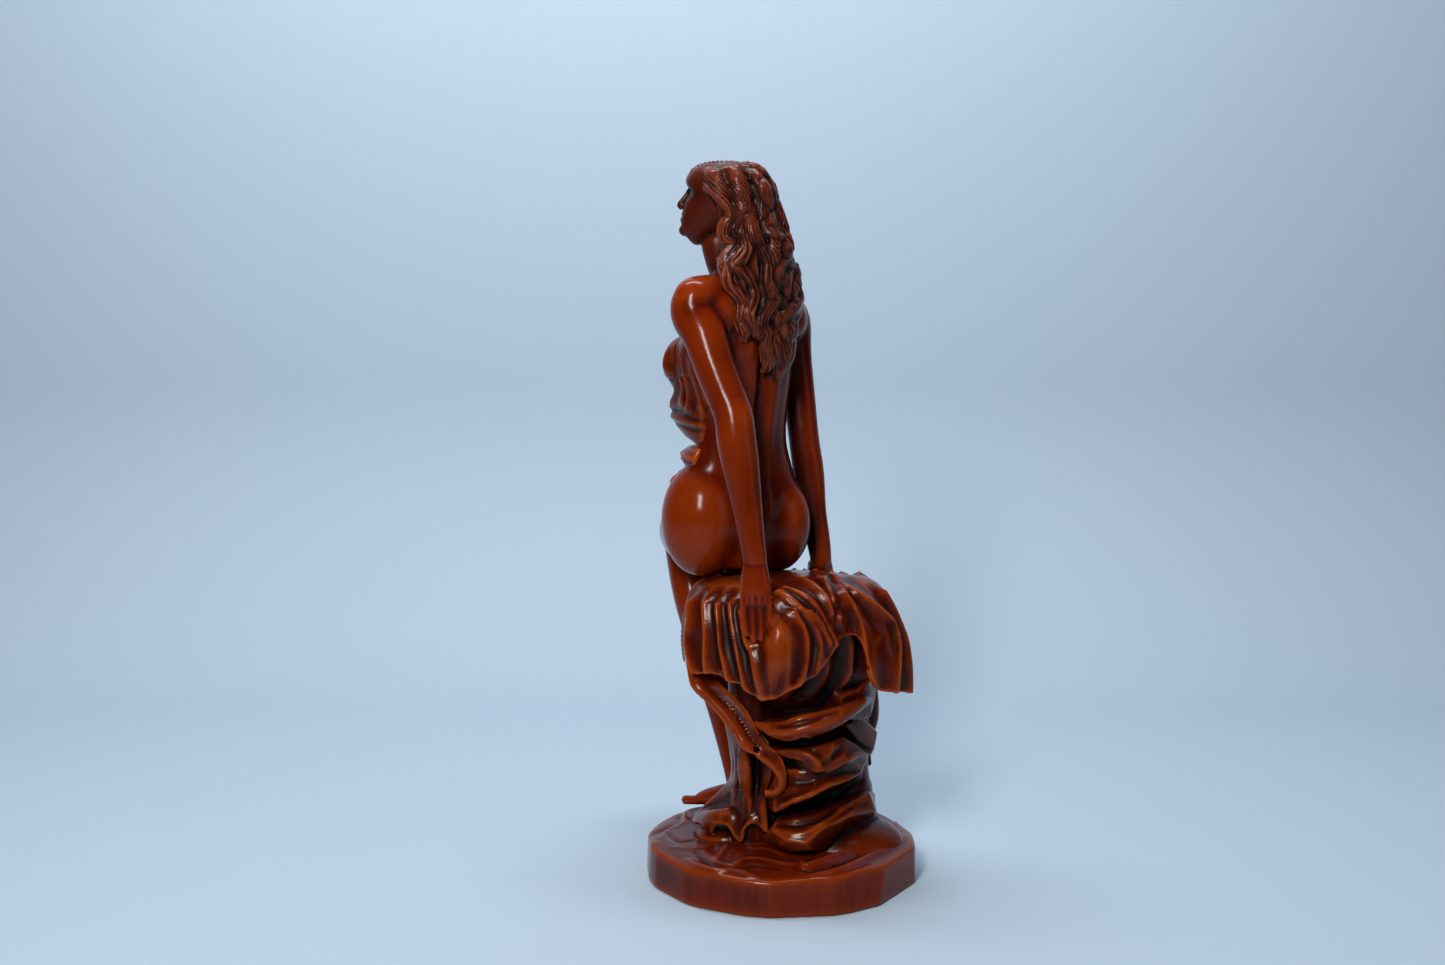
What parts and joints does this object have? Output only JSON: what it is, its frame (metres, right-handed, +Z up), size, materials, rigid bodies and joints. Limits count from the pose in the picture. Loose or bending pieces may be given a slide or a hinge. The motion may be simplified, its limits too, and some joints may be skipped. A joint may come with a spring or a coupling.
{
  "type": "carved wooden figurine",
  "caption": "Polished hardwood carving of a seated, partly draped figure seen with a bare back and long wavy hair, on a cloth-covered rock and round plinth.",
  "frame": {"origin": "centre of the plinth's underside", "axes": "+Z up; the figure's bare back looks to -Y and its legs point to +Y; +X is to the right when the back is looked at"},
  "size_m": [0.0967, 0.1161, 0.2524],
  "materials": {
    "plinth_wood": "dark stained hardwood, polished, knife-cut rim",
    "rock_wood": "dark stained hardwood, polished on the ridges, matt in the hollows",
    "cloth_wood": "red-brown stained hardwood, polished",
    "skin_wood": "red-brown stained hardwood, smooth and glossy",
    "hair_wood": "dark red-brown stained hardwood, grooved, satin"
  },
  "bodies": {
    "root": {"plinth": "plinth_wood", "rock": "rock_wood", "seat_cloth": "cloth_wood", "fallen_cloth": "cloth_wood", "trunk": "skin_wood", "head": "skin_wood", "hair": "hair_wood", "left_arm": "skin_wood", "right_arm": "skin_wood", "left_hand": "skin_wood", "right_hand": "skin_wood", "left_thigh": "skin_wood", "right_thigh": "skin_wood", "left_shank": "skin_wood", "right_shank": "skin_wood", "left_foot": "skin_wood", "right_foot": "skin_wood", "bodice_cloth": "cloth_wood", "lap_cloth": "cloth_wood"}
  },
  "joints": []
}
